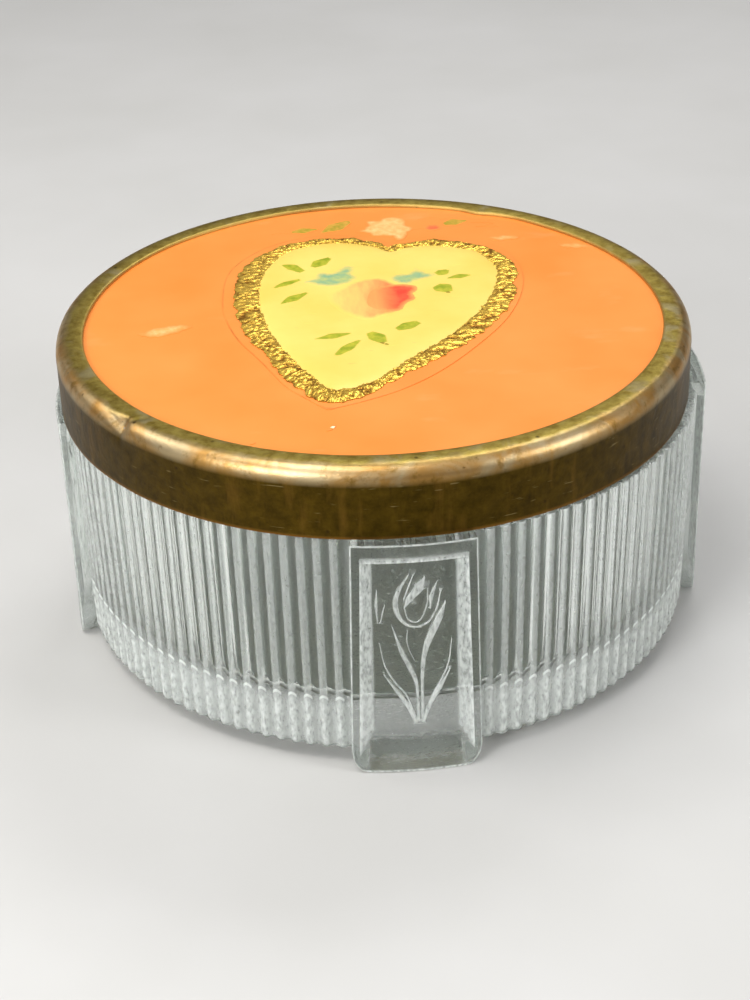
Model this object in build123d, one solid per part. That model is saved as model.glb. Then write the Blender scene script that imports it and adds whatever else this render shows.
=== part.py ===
from build123d import *
import os
from math import cos, radians, sin

os.makedirs("parts", exist_ok=True)

# Round pressed-glass powder jar with a loose, metal-rimmed celluloid lid. Millimetres and degrees.
# The feet stand on z = 0, the bowl's axis is the Z axis, and the front tulip panel faces -Y.

# Bowl: ribbed wall between four panels that stand out and end in feet.
PANEL_R = 57.1               # outer face of the four panels: the jar's widest
PANEL_TOP = 43.4             # the panels and the ribs end at this shoulder
PANEL_HALF_TOP = 10.05       # half width of a panel at the shoulder
PANEL_HALF_FOOT = 11.0       # and at the feet
PANEL_ROOT = 50.0            # how deep a panel's block reaches into the wall
FOOT_CORNER_R = 2.4
BASE_Z = 2.7                 # underside of the base: the feet stand below it
RIB_TOP_R = 55.3             # rib crests at the shoulder
RIB_FOOT_R = 54.55           # rib crests at the base
RIB_DEPTH = 0.6
RIBS_PER_QUARTER = 24
FIRST_RIB = 12.9             # from a panel's middle to the middle of the rib next to it
NECK_R = 52.0
CAVITY_TOP_R = 49.0
CAVITY_FLOOR_R = 47.6
CAVITY_FLOOR_Z = 9.5
CAVITY_CORNER_R = 3.0

# Sunk window of each panel, with bevelled sides, and the tulip that stands on its floor.
WINDOW_DEPTH = 1.2
WINDOW_TOP = 40.35
WINDOW_BOTTOM = 2.85
WINDOW_HALF_TOP = 8.45
WINDOW_HALF_BOTTOM = 9.6
SUNK_TOP = 39.85
SUNK_BOTTOM = 8.1
SUNK_HALF_TOP = 6.55
SUNK_HALF_BOTTOM = 6.75
TULIP_RELIEF = 0.4

# Lid: brass rim round a pressed stack of celluloid, card and lining.
LID_R = 55.0
LID_TOP = 56.06              # crown of the rim
LIP_R = 50.1                 # the rim's hole, which shows the panel
SKIRT_BOTTOM = 43.66
SHOULDER_R = 2.0
SHEET = 0.5                  # the rim's brass
LID_X, LID_Y = -1.07, -0.39  # the loose lid sits a little to one side of the bowl's axis
LID_CLEARANCE = 0.05         # lining to neck
PANEL_THICK = 1.2
PANEL_CHAMFER = 0.75         # clears the inside of the rim's shoulder
CARD_THICK = 1.5
LINING_THICK = 0.4
PANEL_FACE = 55.4            # top of the celluloid disc
STACK_GAP = 0.2              # between the stack's edge and the rim's skirt
RING_WIRE = 1.2
RING_GAP = 6.0               # angle left open in the retaining ring

# Heart on the lid, about its own axis, which leans clockwise and lies left of the lid's middle.
HEART_LEAN = -14.7
HEART_SHIFT = -1.95
HEART_NOTCH = 29.7
HEART_LOBE = (10.0, 33.9)
HEART_SIDE = (25.1, 13.0)
HEART_FLANK = (16.9, -12.8)
HEART_HEEL = (4.6, -29.8)
HEART_TIP = -32.4
FOIL_WIDTH = 3.3
BACKING_MARGIN = 1.6
BACKING_THICK = 0.15
FOIL_THICK = 0.2
PLAQUE_THICK = 0.35

QUARTER = 90
RIB_PITCH = (QUARTER - 2 * FIRST_RIB) / (RIBS_PER_QUARTER - 1)
PLAIN_HALF = FIRST_RIB - RIB_PITCH / 2
CARD_BOTTOM = PANEL_FACE - PANEL_THICK - CARD_THICK
LINING_BOTTOM = CARD_BOTTOM - LINING_THICK
NECK_TOP = LINING_BOTTOM - LID_CLEARANCE
LID_PLACE = Pos(LID_X, LID_Y, 0)
STACK_R = LID_R - SHEET - STACK_GAP

# The tulip's petals, stem and leaves: each is a blade between two curves from its foot to its tip,
# given across the panel and up it.
TULIP = {
    "left_petal": ([(0.6, 27.8), (-3.4, 31.9), (-1.0, 37.3)], [(0.6, 27.8), (-2.6, 32.3), (-1.0, 37.3)]),
    "middle_petal": ([(-1.7, 31.6), (-0.7, 34.6), (1.65, 37.0)], [(-1.7, 31.6), (0.5, 33.5), (1.65, 37.0)]),
    "right_petal": ([(2.5, 31.4), (2.2, 33.6), (3.5, 35.7)], [(2.5, 31.4), (3.1, 33.2), (3.5, 35.7)]),
    "cup": ([(-0.5, 28.7), (2.7, 29.9), (4.15, 33.9)], [(-0.5, 28.7), (3.1, 29.4), (4.15, 33.9)]),
    "stem": ([(0.5, 9.6), (-0.5, 20.5), (-0.9, 27.2)], [(0.5, 9.6), (0.1, 20.5), (-0.9, 27.2)]),
    "right_leaf": ([(0.8, 9.6), (1.1, 22.4), (4.9, 32.0)], [(0.8, 9.6), (2.1, 22.2), (4.9, 32.0)]),
    "left_leaf": ([(0.4, 9.6), (-0.8, 18.9), (-3.7, 27.9)], [(0.4, 9.6), (0.2, 18.4), (-3.7, 27.9)]),
    "outer_left_leaf": ([(0.2, 9.6), (-4.0, 17.2), (-5.8, 24.7)], [(0.2, 9.6), (-3.2, 17.2), (-5.8, 24.7)]),
    "outer_right_leaf": ([(0.9, 9.6), (3.6, 16.1), (5.9, 24.6)], [(0.9, 9.6), (4.2, 16.1), (5.9, 24.6)]),
}


def rib_wire(crest_r, z):
    """The ribbed wall's outline at one height: rounded ribs in each quarter, a plain arc behind each panel."""
    valley_r = crest_r - RIB_DEPTH

    def at(radius, angle):
        return (radius * cos(radians(angle)), radius * sin(radians(angle)), z)

    arcs = []
    for quarter in range(4):
        start = quarter * QUARTER + PLAIN_HALF
        for rib in range(RIBS_PER_QUARTER):
            left = start + rib * RIB_PITCH
            middle, right = left + RIB_PITCH / 2, left + RIB_PITCH
            arcs.append(ThreePointArc(at(valley_r, left), at(crest_r, middle), at(valley_r, right)))
        end = (quarter + 1) * QUARTER - PLAIN_HALF
        arcs.append(
            ThreePointArc(at(valley_r, end), at(valley_r, end + PLAIN_HALF), at(valley_r, end + 2 * PLAIN_HALF))
        )
    return Wire(arcs)


def ribbed_wall():
    low, high = rib_wire(RIB_FOOT_R, BASE_Z), rib_wire(RIB_TOP_R, PANEL_TOP)
    return Solid.make_loft([low, high], ruled=True)


def panel_block():
    """The front panel with its foot, before the window is cut."""
    corners = [
        (-PANEL_HALF_TOP, PANEL_TOP),
        (-PANEL_HALF_FOOT, 0),
        (PANEL_HALF_FOOT, 0),
        (PANEL_HALF_TOP, PANEL_TOP),
    ]
    outline = make_face(Polyline(corners, close=True))
    outline = fillet(outline.vertices().sort_by(Axis.Y)[:2], FOOT_CORNER_R)
    block = extrude(Plane.XZ.offset(PANEL_ROOT) * outline, PANEL_R - PANEL_ROOT + 1)
    return block & Pos(0, 0, PANEL_TOP / 2) * Cylinder(PANEL_R, 2 * PANEL_TOP)


def depth_at(half_width, radius):
    """How far forward a round face of this radius lies at this distance from the panel's middle."""
    return (radius**2 - half_width**2) ** 0.5


def window_sides(sunk_half, window_half, z):
    """Section across the front window: its two side bevels run from the sunk floor to the panel's face."""
    floor_y = depth_at(sunk_half, PANEL_R - WINDOW_DEPTH)
    face_y = depth_at(window_half, PANEL_R)
    slope = (window_half - sunk_half) / (face_y - floor_y)
    near, far = floor_y - 1, PANEL_R + 1
    near_half = sunk_half + slope * (near - floor_y)
    far_half = sunk_half + slope * (far - floor_y)
    points = [(-near_half, -near, z), (-far_half, -far, z), (far_half, -far, z), (near_half, -near, z)]
    return Wire(Polyline(points, close=True).edges())


def window_cut():
    """What the front window takes out: bevelled sides, bevelled top and bottom, and a round floor."""
    reach = 1.0
    floor_r, far_r = PANEL_R - WINDOW_DEPTH, PANEL_R + reach
    top_slope = (WINDOW_TOP - SUNK_TOP) / WINDOW_DEPTH
    bottom_slope = (SUNK_BOTTOM - WINDOW_BOTTOM) / WINDOW_DEPTH
    profile = [
        (floor_r, SUNK_BOTTOM),
        (far_r, WINDOW_BOTTOM - bottom_slope * reach),
        (far_r, WINDOW_TOP + top_slope * reach),
        (floor_r, SUNK_TOP),
    ]
    band = revolve(Plane.XZ * make_face(Polyline(profile, close=True)), Axis.Z)
    low = window_sides(SUNK_HALF_BOTTOM, WINDOW_HALF_BOTTOM, WINDOW_BOTTOM)
    high = window_sides(SUNK_HALF_TOP, WINDOW_HALF_TOP, WINDOW_TOP + reach)
    return band & Solid.make_loft([low, high], ruled=True)


def tulip_relief():
    """The front panel's tulip, standing on the window's floor."""
    floor_r = PANEL_R - WINDOW_DEPTH
    height = Pos(0, 0, PANEL_TOP / 2)
    skin = height * Cylinder(floor_r + TULIP_RELIEF, PANEL_TOP) - height * Cylinder(floor_r - 0.2, PANEL_TOP)
    blades = []
    for left, right in TULIP.values():
        outline = Face(Wire([ThreePointArc(*left), ThreePointArc(*right)]))
        blade = extrude(Plane.XZ.offset(PANEL_ROOT) * outline, PANEL_R - PANEL_ROOT, dir=(0, -1, 0))
        blades.append(blade & skin)
    return blades


def cavity():
    """The powder space: a tapered bore with a rounded floor corner, open through the neck."""
    mouth = NECK_TOP + 1
    wall = Line((CAVITY_FLOOR_R, CAVITY_FLOOR_Z), (CAVITY_TOP_R, mouth))
    outline = make_face(
        Line((0, CAVITY_FLOOR_Z), wall @ 0) + wall + Line(wall @ 1, (0, mouth)) + Line((0, mouth), (0, CAVITY_FLOOR_Z))
    )
    corner = outline.vertices().sort_by_distance((CAVITY_FLOOR_R, CAVITY_FLOOR_Z, 0))[0]
    return revolve(Plane.XZ * fillet(corner, CAVITY_CORNER_R), Axis.Z)


def glass_bowl():
    neck = Pos(0, 0, (BASE_Z + 1 + NECK_TOP) / 2) * Cylinder(NECK_R, NECK_TOP - BASE_Z - 1)
    bowl = ribbed_wall() + neck
    turns = [Rot(0, 0, quarter * QUARTER) for quarter in range(4)]
    block, window, tulip = panel_block(), window_cut(), tulip_relief()
    bowl = bowl + [turn * block for turn in turns]
    bowl = bowl - cavity()
    bowl = bowl - [turn * window for turn in turns]
    return bowl + [turn * blade for turn in turns for blade in tulip]


def lid_rim():
    """Spun brass rim: a skirt, a rolled shoulder and a lip whose edge is turned down onto the panel."""
    inside_r, under = LID_R - SHEET, LID_TOP - SHEET
    outline = [
        Line((inside_r, SKIRT_BOTTOM), (LID_R, SKIRT_BOTTOM)),
        Line((LID_R, SKIRT_BOTTOM), (LID_R, LID_TOP - SHOULDER_R)),
        RadiusArc((LID_R, LID_TOP - SHOULDER_R), (LID_R - SHOULDER_R, LID_TOP), -SHOULDER_R),
        Line((LID_R - SHOULDER_R, LID_TOP), (LIP_R + SHEET, LID_TOP)),
        Line((LIP_R + SHEET, LID_TOP), (LIP_R, under)),
        Line((LIP_R, under), (LIP_R, PANEL_FACE)),
        Line((LIP_R, PANEL_FACE), (LIP_R + SHEET, PANEL_FACE)),
        Line((LIP_R + SHEET, PANEL_FACE), (LIP_R + SHEET, under)),
        Line((LIP_R + SHEET, under), (LID_R - SHOULDER_R, under)),
        RadiusArc((LID_R - SHOULDER_R, under), (inside_r, LID_TOP - SHOULDER_R), SHOULDER_R - SHEET),
        Line((inside_r, LID_TOP - SHOULDER_R), (inside_r, SKIRT_BOTTOM)),
    ]
    return LID_PLACE * revolve(Plane.XZ * make_face(Curve() + outline), Axis.Z)


def lid_disc(radius, thickness, bottom):
    return LID_PLACE * Pos(0, 0, bottom + thickness / 2) * Cylinder(radius, thickness)


def lid_panel():
    """The celluloid disc, chamfered so that it sits under the rim's rolled shoulder."""
    disc = lid_disc(STACK_R, PANEL_THICK, PANEL_FACE - PANEL_THICK)
    return chamfer(disc.edges().group_by(Axis.Z)[-1], PANEL_CHAMFER)


def retaining_ring():
    """Open wire ring that springs into the skirt and holds the stack up."""
    ring_r = LID_R - SHEET - RING_WIRE / 2 - 0.02
    section = Plane.XZ * Pos(ring_r, LINING_BOTTOM - RING_WIRE / 2) * Circle(RING_WIRE / 2)
    ring = revolve(section, Axis.Z, 360 - RING_GAP)
    return LID_PLACE * Rot(0, 0, QUARTER + RING_GAP / 2) * ring


def heart(grow, thickness, bottom):
    """A heart-shaped plate, its outline `grow` outside the foil's outer edge."""
    across, down = 0.84 * grow, 0.54 * grow
    notch = (0, HEART_NOTCH + grow)
    tip = (0, HEART_TIP - grow)
    edges = []
    for side in (1, -1):
        lobe = (side * HEART_LOBE[0], HEART_LOBE[1] + grow)
        shoulder = (side * (HEART_SIDE[0] + grow), HEART_SIDE[1])
        flank = (side * (HEART_FLANK[0] + across), HEART_FLANK[1] - down)
        heel = (side * (HEART_HEEL[0] + across / 2), HEART_HEEL[1] - down)
        edges += [ThreePointArc(notch, lobe, shoulder), ThreePointArc(shoulder, flank, heel)]
    edges.append(ThreePointArc(edges[1] @ 1, tip, edges[3] @ 1))
    place = LID_PLACE * Rot(0, 0, HEART_LEAN) * Pos(HEART_SHIFT, 0, bottom)
    return extrude(place * make_face(edges), thickness, dir=(0, 0, 1))


def foil_border():
    bottom = PANEL_FACE + BACKING_THICK
    return heart(0, FOIL_THICK, bottom) - heart(-FOIL_WIDTH, FOIL_THICK, bottom)


pieces = {
    "glass_bowl": glass_bowl(),
    "lid_rim": lid_rim(),
    "lid_panel": lid_panel(),
    "heart_backing": heart(BACKING_MARGIN, BACKING_THICK, PANEL_FACE),
    "foil_border": foil_border(),
    "heart_plaque": heart(-FOIL_WIDTH, PLAQUE_THICK, PANEL_FACE + BACKING_THICK),
    "backing_card": lid_disc(STACK_R, CARD_THICK, CARD_BOTTOM),
    "lid_lining": lid_disc(STACK_R - 0.8, LINING_THICK, LINING_BOTTOM),
    "retaining_ring": retaining_ring(),
}
for name, piece in pieces.items():
    export_step(piece, f"parts/{name}.step")
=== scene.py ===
import math
import bpy
import numpy as np
from mathutils import Matrix, Vector, noise
from mathutils.geometry import delaunay_2d_cdt


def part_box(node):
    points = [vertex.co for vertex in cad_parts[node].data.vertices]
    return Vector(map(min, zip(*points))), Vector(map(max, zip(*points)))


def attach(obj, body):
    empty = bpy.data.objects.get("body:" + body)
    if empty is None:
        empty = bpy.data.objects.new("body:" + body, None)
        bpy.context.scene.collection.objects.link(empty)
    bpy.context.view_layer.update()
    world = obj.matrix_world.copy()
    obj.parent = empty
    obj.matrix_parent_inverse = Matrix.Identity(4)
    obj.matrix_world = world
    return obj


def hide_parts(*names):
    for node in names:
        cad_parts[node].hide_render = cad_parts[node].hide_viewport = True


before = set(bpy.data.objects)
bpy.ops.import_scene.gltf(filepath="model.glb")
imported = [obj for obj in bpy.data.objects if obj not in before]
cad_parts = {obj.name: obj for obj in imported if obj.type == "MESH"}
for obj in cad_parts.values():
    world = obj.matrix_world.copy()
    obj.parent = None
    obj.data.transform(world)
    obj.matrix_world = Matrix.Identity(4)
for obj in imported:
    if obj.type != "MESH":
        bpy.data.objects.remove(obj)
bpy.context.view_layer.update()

# Lengths are millimetres and angles degrees until a mesh, light or camera is made.
MM = 0.001
FRONT, QUARTER = -90, 90


def box(node):
    """The lowest and highest corners of a node of the frame."""
    return [np.array(corner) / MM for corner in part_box(node)]


# Read from the frame: the bowl stands on z = 0 about the Z axis, the loose lid has its own centre.
PANEL_R, _, NECK_TOP = box("glass_bowl")[1]
rim_low, rim_high = box("lid_rim")
disc_low, disc_high = box("lid_panel")
LID_CENTRE = (rim_low[:2] + rim_high[:2]) / 2
LID_R = (rim_high[0] - rim_low[0]) / 2
LID_TOP, SKIRT_BOTTOM = rim_high[2], rim_low[2]
PANEL_FACE = disc_high[2]
PLAQUE_FOOT = box("heart_backing")[1][2]
PLAQUE_TOP = box("heart_plaque")[1][2] + 0.1

# Bowl
PANEL_TOP = 43.4
BASE_Z = 2.7
RIB_TOP_R, RIB_FOOT_R = 55.3, 54.55
RIB_DEPTH = 0.6
RIB_FOOT_ROUND, RIB_TOP_ROUND, PANEL_ROUND = 1.3, 0.4, 0.3
RIB_FROST = 0.42
RIBS_PER_QUARTER = 24
# Height and rise up a rib of the painted highlight band across each rib's foot.
CAP_HIGHLIGHT_Z, CAP_HIGHLIGHT_RISE = 11.9, 1.3
SAMPLES_PER_RIB = 10
FIRST_RIB = 12.9
RIB_PITCH = (QUARTER - 2 * FIRST_RIB) / (RIBS_PER_QUARTER - 1)
PLAIN_HALF = FIRST_RIB - RIB_PITCH / 2
NECK_R, NECK_EDGE = 52.0, 1.0
CAVITY_TOP_R, CAVITY_FLOOR_R = 49.0, 47.6
CAVITY_FLOOR_Z, CAVITY_CORNER_R = 9.5, 3.0
FOOT_HALF, SHOULDER_HALF = 10.9, 10.05
FOOT_CORNER_ACROSS, FOOT_CORNER_UP = 3.0, 4.4
WINDOW_DEPTH = 1.2
WINDOW_HALVES, SUNK_HALVES = (9.45, 8.45), (6.75, 6.55)
NARROWEST_BAR, NARROWEST_BEVEL = 0.9, 1.2
WINDOW_BOTTOM, WINDOW_TOP = 2.85, 40.35
SUNK_BOTTOM, SUNK_TOP = 8.1, 39.85
BEVEL_STEPS, SUNK_COLUMNS, SUNK_ROWS = 4, 8, 12

# Lid
LIP_R = 50.1
SHEET = 0.5
SHOULDER_DOWN = 2.6
PINCH_AT, WAVE_AT = -142.3, 60
DENT_DOWN, DENT_IN, FOLD_DOWN = 0.9, 0.95, 0.25
WAVE_IN, WAVE_OUT = 0.75, 0.3
UNEVEN, LIP_UNEVEN = 0.06, 0.12
PILLOW = 1.4
PAINT_THICK = 0.02


# --- Meshes ---

def polar(radius, turn):
    """The place at a radius from the axis, at a turn in radians."""
    return radius * math.cos(turn), radius * math.sin(turn)


def cos_sin(degrees):
    return polar(1, math.radians(degrees))


def arc(start, end, count):
    """Cosine and sine of angles spread evenly from one to another."""
    return [cos_sin(turn) for turn in np.linspace(start, end, count)]


def new_object(name, points, faces, material, body, sharp=35):
    """An object with its mesh in the part's frame, smooth except at edges sharper than `sharp` degrees."""
    mesh = bpy.data.meshes.new(name)
    mesh.from_pydata((np.asarray(points, float) * MM).tolist(), [], faces)
    mesh.polygons.foreach_set("use_smooth", [True] * len(mesh.polygons))
    mesh.set_sharp_from_angle(angle=math.radians(sharp))
    mesh.materials.append(material)
    piece = bpy.data.objects.new(name, mesh)
    bpy.context.collection.objects.link(piece)
    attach(piece, body)
    return piece


def grid_faces(rows, columns, close_rows=False):
    """Quads of a grid of points stored row by row. Each row is a closed ring."""
    faces = []
    for row in range(rows if close_rows else rows - 1):
        here, there = row * columns, (row + 1) % rows * columns
        for column in range(columns):
            side = (column + 1) % columns
            faces.append((here + column, here + side, there + side, there + column))
    return faces


def weld(points, faces, values):
    """Joins points that coincide and leaves out points and faces that then have no use."""
    numbers, kept, kept_values, kept_faces = {}, [], [], []
    for face in faces:
        corners = []
        for index in face:
            key = tuple(round(v, 5) for v in points[index])
            if key not in numbers:
                numbers[key] = len(kept)
                kept.append(points[index])
                kept_values.append(values[index])
            if numbers[key] not in corners:
                corners.append(numbers[key])
        if len(corners) > 2:
            kept_faces.append(tuple(corners))
    return kept, kept_faces, kept_values


def store(piece, name, values):
    """Keeps one number for each vertex, which the material reads by this name."""
    layer = piece.data.attributes.new(name, "FLOAT", "POINT")
    layer.data.foreach_set("value", np.asarray(values, np.float32))


def lid_points(xy, z):
    """Points given about the lid's centre, moved into the part's frame."""
    xy = np.asarray(xy, float)
    return np.column_stack([xy + LID_CENTRE, np.broadcast_to(z, len(xy))])


def turned(section, columns, rough=0.0, seed=0.0):
    """Points and faces of a closed piece turned about the lid's axis from its section of radii and heights.
    Its edge wanders by the share `rough`."""
    flat, heights = [], []
    for radius, z in section:
        for turn in np.arange(columns) * 2 * math.pi / columns:
            c, s = polar(1, turn)
            wander = 1 + rough * noise.noise(Vector((c * 9 + seed, s * 9, z)))
            flat.append(polar(radius * wander, turn))
            heights.append(z)
    faces = grid_faces(len(section), columns)
    faces += [tuple(range(columns))[::-1], tuple(range(len(flat) - columns, len(flat)))]
    return lid_points(flat, heights), faces


def ripple(points, size, seed=0.0, octaves=3):
    """Smooth noise from -1 to 1 at each point; `size` is the width of its largest lumps."""
    shift = Vector((seed, 2.3 * seed, -1.7 * seed))
    return np.array([noise.fractal(Vector(p) / size + shift, 1.0, 2.0, octaves) for p in points])


def flat_ripple(places, size, seed=0.0, octaves=3):
    return ripple(np.column_stack([places, np.zeros(len(places))]), size, seed, octaves)


def smooth_line(points, count, closed=False):
    """Catmull-Rom curve through the points, as `count` points evenly spread over its spans."""
    points = np.asarray(points, float)
    if closed:
        padded = np.vstack([points[-1], points, points[:2]])
    else:
        padded = np.vstack([2 * points[0] - points[1], points, 2 * points[-1] - points[-2]])
    spans = len(padded) - 3
    places = np.linspace(0, spans, count, endpoint=not closed)
    index = np.minimum(places.astype(int), spans - 1)
    t = (places - index)[:, None]
    a, b, c, d = (padded[index + k] for k in range(4))
    return 0.5 * (2 * b + (c - a) * t + (2 * a - 5 * b + 4 * c - d) * t**2 + (3 * b - a - 3 * c + d) * t**3)


def from_segment(places, a, b):
    """How far along a segment each place lies, from 0 to 1, and its distance from the segment."""
    span = b - a
    t = np.clip(((places - a) @ span) / (span @ span + 1e-12), 0, 1)
    return t, np.linalg.norm(places - a - t[:, None] * span, axis=1)


def inside_distance(places, outline):
    """Distance from each place to the outline, positive inside it."""
    best, inside = np.full(len(places), np.inf), np.zeros(len(places), bool)
    for p, q in zip(outline, np.roll(outline, -1, axis=0)):
        best = np.minimum(best, from_segment(places, p, q)[1])
        crosses = (p[1] > places[:, 1]) != (q[1] > places[:, 1])
        cut = p[0] + (places[:, 1] - p[1]) / (q[1] - p[1] + 1e-12) * (q[0] - p[0])
        inside ^= crosses & (places[:, 0] < cut)
    return np.where(inside, best, -best)


def triangulate(points, lines=(), kind=0, loops=()):
    """Constrained Delaunay triangles of flat points. Returns the points and the triangles."""
    flat = [Vector(p) for p in points]
    result = delaunay_2d_cdt(flat, list(lines), [list(loop) for loop in loops], kind, 1e-5)
    return np.array([tuple(p) for p in result[0]]), [tuple(face) for face in result[2]]


def area(corners):
    """Area of a flat triangle."""
    (ax, ay), (bx, by) = corners[1] - corners[0], corners[2] - corners[0]
    return abs(ax * by - ay * bx) / 2


# Strokes: a line with a width at each point. The tulip's blades and the painted leaves are strokes.

def stroke_line(stroke, count):
    """Middle line of a stroke and its half width at each place. The stroke has places with widths."""
    stroke = np.array(stroke)
    given = np.linspace(0, 1, len(stroke))
    widths = np.interp(np.linspace(0, 1, count), given, stroke[:, 2])
    return smooth_line(stroke[:, :2], count), widths / 2


def stroke_outline(line, half, share=1.0):
    """The closed outline at a share of the stroke's width."""
    along = np.gradient(line, axis=0)
    along /= np.linalg.norm(along, axis=1)[:, None] + 1e-9
    across = np.column_stack([-along[:, 1], along[:, 0]]) * (half * share)[:, None]
    return np.vstack([line + across, (line - across)[::-1]])


def stroke_rise(where, line, half):
    """0 at a stroke's edge and outside it, 1 along its middle, with a round section."""
    best = np.zeros(len(where))
    for a, b, wide_a, wide_b in zip(line[:-1], line[1:], half[:-1], half[1:]):
        t, away = from_segment(where, a, b)
        wide = wide_a + (wide_b - wide_a) * t
        best = np.maximum(best, 1 - (away / np.maximum(wide, 1e-6)) ** 2)
    return np.clip(best, 0, 1) ** 0.4


# --- Materials ---

def tone(red, green, blue):
    """A colour seen as 0-255 sRGB, as the linear colour that a shader takes."""
    levels = [v / 255 for v in (red, green, blue)]
    return tuple(v / 12.92 if v <= 0.04045 else ((v + 0.055) / 1.055) ** 2.4 for v in levels)


class Surface:
    """One procedural material built round a Principled shader. Lengths in its patterns are millimetres, and
    a shade is a tuple of red, green and blue as seen, from 0 to 255."""

    def __init__(self, name, **constants):
        self.material = bpy.data.materials.new(name)
        self.material.use_nodes = True
        self.tree = self.material.node_tree
        self.shader = self.tree.nodes["Principled BSDF"]
        for socket, value in constants.items():
            self.shader.inputs[socket.replace("_", " ")].default_value = value
        inputs = {0: self.node("ShaderNodeTexCoord", {}).outputs["Object"], "Scale": 1 / MM}
        self.place = self.node("ShaderNodeVectorMath", inputs, operation="SCALE").outputs[0]

    def node(self, kind, inputs, **settings):
        made = self.tree.nodes.new(kind)
        for key, value in settings.items():
            setattr(made, key, value)
        for key, value in inputs.items():
            if isinstance(value, bpy.types.NodeSocket):
                self.tree.links.new(value, made.inputs[key])
            else:
                made.inputs[key].default_value = value
        return made

    def math(self, operation, *values, clamp=False):
        made = self.node("ShaderNodeMath", dict(enumerate(values)), operation=operation, use_clamp=clamp)
        return made.outputs[0]

    def moved(self, seed, scale=(1, 1, 1)):
        inputs = {"Vector": self.place, "Scale": scale, "Location": (seed,) * 3}
        return self.node("ShaderNodeMapping", inputs).outputs[0]

    def noise(self, size, detail=4, roughness=0.55, stretch=(1, 1, 1), warp=0.0, seed=0.0):
        """Noise from 0 to 1 whose lumps are about `size` wide, longer along an axis by its stretch."""
        inputs = {"Vector": self.moved(seed, tuple(1 / (size * s) for s in stretch)), "Scale": 1.0,
                  "Detail": detail, "Roughness": roughness, "Distortion": warp}
        return self.node("ShaderNodeTexNoise", inputs).outputs[0]

    def cells(self, size, seed=0.0):
        """Distance from the nearest of many scattered points about `size` apart."""
        inputs = {"Vector": self.moved(seed), "Scale": 1 / size}
        return self.node("ShaderNodeTexVoronoi", inputs).outputs["Distance"]

    def ramp(self, value, *stops):
        """Shades or levels over a value from 0 to 1. A stop is (place, shade or level)."""
        made = self.node("ShaderNodeValToRGB", {"Fac": value})
        band = made.color_ramp
        while len(band.elements) < len(stops):
            band.elements.new(0.5)
        for element, (place, shade) in zip(band.elements, stops):
            element.position = place
            element.color = (*(tone(*shade) if isinstance(shade, tuple) else (shade,) * 3), 1)
        return made.outputs[0]

    def mix(self, share, low, high):
        shades = [(*tone(*v), 1) if isinstance(v, tuple) else v for v in (low, high)]
        inputs = {0: share, 6: shades[0], 7: shades[1]}
        return self.node("ShaderNodeMix", inputs, data_type="RGBA").outputs[2]

    def blend(self, value, start, end, under, over, most=1.0):
        """`over` laid on `under`: none of it where the value is at `start`, a share of `most` at `end`."""
        return self.mix(self.ramp(value, *sorted([(start, 0.0), (end, most)])), under, over)

    def stored(self, name):
        return self.node("ShaderNodeAttribute", {}, attribute_name=name).outputs["Fac"]

    def axis(self, index):
        return self.node("ShaderNodeSeparateXYZ", {0: self.place}).outputs[index]

    def bumps(self, *layers):
        """Bumps laid over one another, each a height from 0 to 1 and its depth in millimetres."""
        below = {}
        for height, depth in layers:
            inputs = {"Height": height, "Distance": depth * MM, "Strength": 1.0, **below}
            below = {"Normal": self.node("ShaderNodeBump", inputs).outputs[0]}
        return below["Normal"]

    def link(self, **sockets):
        for socket, value in sockets.items():
            self.tree.links.new(value, self.shader.inputs[socket.replace("_", " ")])
        return self.material


def glass_material():
    """Pressed glass: clear faces, satin where it is frosted and, as painted highlights, along some edges, a
    painted highlight as a band of satin across the foot of each rib, and ripples in the thick foot."""
    glass = Surface("clear_glass", IOR=1.5)
    frost_and_highlight, rib = glass.stored("frost_and_highlight"), glass.stored("rib")
    speckle = glass.ramp(glass.noise(0.5, detail=3, stretch=(1, 1, 2.5), seed=4), (0.34, 1.0), (0.6, 0.0))
    clearings = glass.math("MULTIPLY", speckle, glass.ramp(frost_and_highlight, (0.44, 0.2), (0.7, 0.55)))
    satin = glass.math("MULTIPLY", frost_and_highlight, glass.math("SUBTRACT", 1.0, clearings), clamp=True)
    # Painted highlight: a band of satin across the foot of each rib, rising with the rib, in place of
    # bright caps.
    cap_highlight_at = glass.math("MULTIPLY_ADD", rib, CAP_HIGHLIGHT_RISE, CAP_HIGHLIGHT_Z)
    off_cap_highlight = glass.math("ABSOLUTE", glass.math("SUBTRACT", glass.axis(2), cap_highlight_at))
    cap_highlight = glass.math("MULTIPLY", glass.ramp(off_cap_highlight, (0.22, 0.9), (0.42, 0.0)),
                     glass.ramp(rib, (0.3, 0.0), (0.5, 1.0)))
    # From here the satin level also carries the painted highlight band.
    satin = glass.math("MAXIMUM", satin, cap_highlight)
    foot = glass.ramp(glass.math("MULTIPLY", glass.axis(2), 0.1, clamp=True), (0.72, 1.0), (0.95, 0.0))
    wiggles = glass.noise(1.1, detail=2, stretch=(1, 1, 0.6), warp=1.4, seed=8)
    return glass.link(
        Base_Color=glass.mix(satin, (243, 249, 245), (250, 255, 251)),
        Roughness=glass.math("MULTIPLY_ADD", satin, 0.2, 0.01),
        Transmission_Weight=glass.math("MULTIPLY_ADD", satin, -0.75, 1.0),
        Normal=glass.bumps(
            (glass.noise(4.0, detail=2), 0.02),
            (glass.noise(0.45, detail=2, seed=4), 0.003),
            (glass.math("MULTIPLY", wiggles, foot), 0.16),
        ),
    )


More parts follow.
